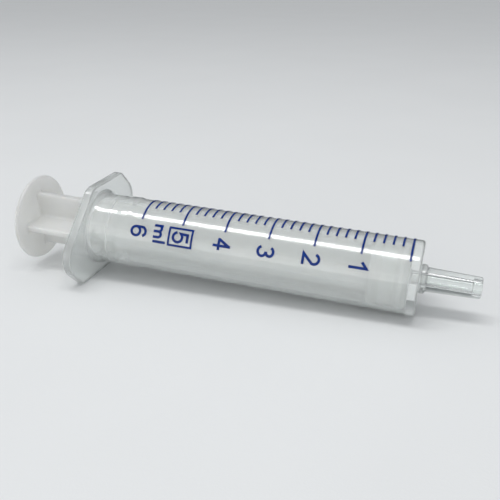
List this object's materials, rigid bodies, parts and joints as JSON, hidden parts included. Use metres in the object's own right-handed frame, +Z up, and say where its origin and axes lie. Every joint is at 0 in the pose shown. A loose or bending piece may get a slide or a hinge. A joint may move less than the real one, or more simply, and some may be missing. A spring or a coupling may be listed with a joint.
{
  "type": "oral syringe",
  "caption": "Clear slip-tip oral syringe with a two-lobed finger flange, a printed volume scale and a sliding one-piece milky plunger.",
  "frame": {"origin": "centre of the nozzle's mouth, on the barrel's axis", "axes": "+X along the barrel's axis, out of the nozzle; +Z up, with the flange's resting side facing -Z; the printed scale faces up and towards -Y"},
  "size_m": [0.0895, 0.0264, 0.0182],
  "materials": {
    "barrel_plastic": "clear, moulded, glossy",
    "plunger_plastic": "milky translucent, satin",
    "ink": "printed ink"
  },
  "bodies": {
    "barrel": {"barrel": "barrel_plastic", "minor_graduations": "ink", "major_graduations": "ink", "numeral_1": "ink", "numeral_2": "ink", "numeral_3": "ink", "numeral_4": "ink", "numeral_5": "ink", "numeral_6": "ink", "capacity_box": "ink", "unit_mark": "ink"},
    "plunger": {"plunger": "plunger_plastic"}
  },
  "joints": [
    {"name": "plunger_slide", "type": "slide", "parent": "barrel", "child": "plunger", "axis": [-1, 0, 0], "range_m": [0, 0.0505]}
  ]
}
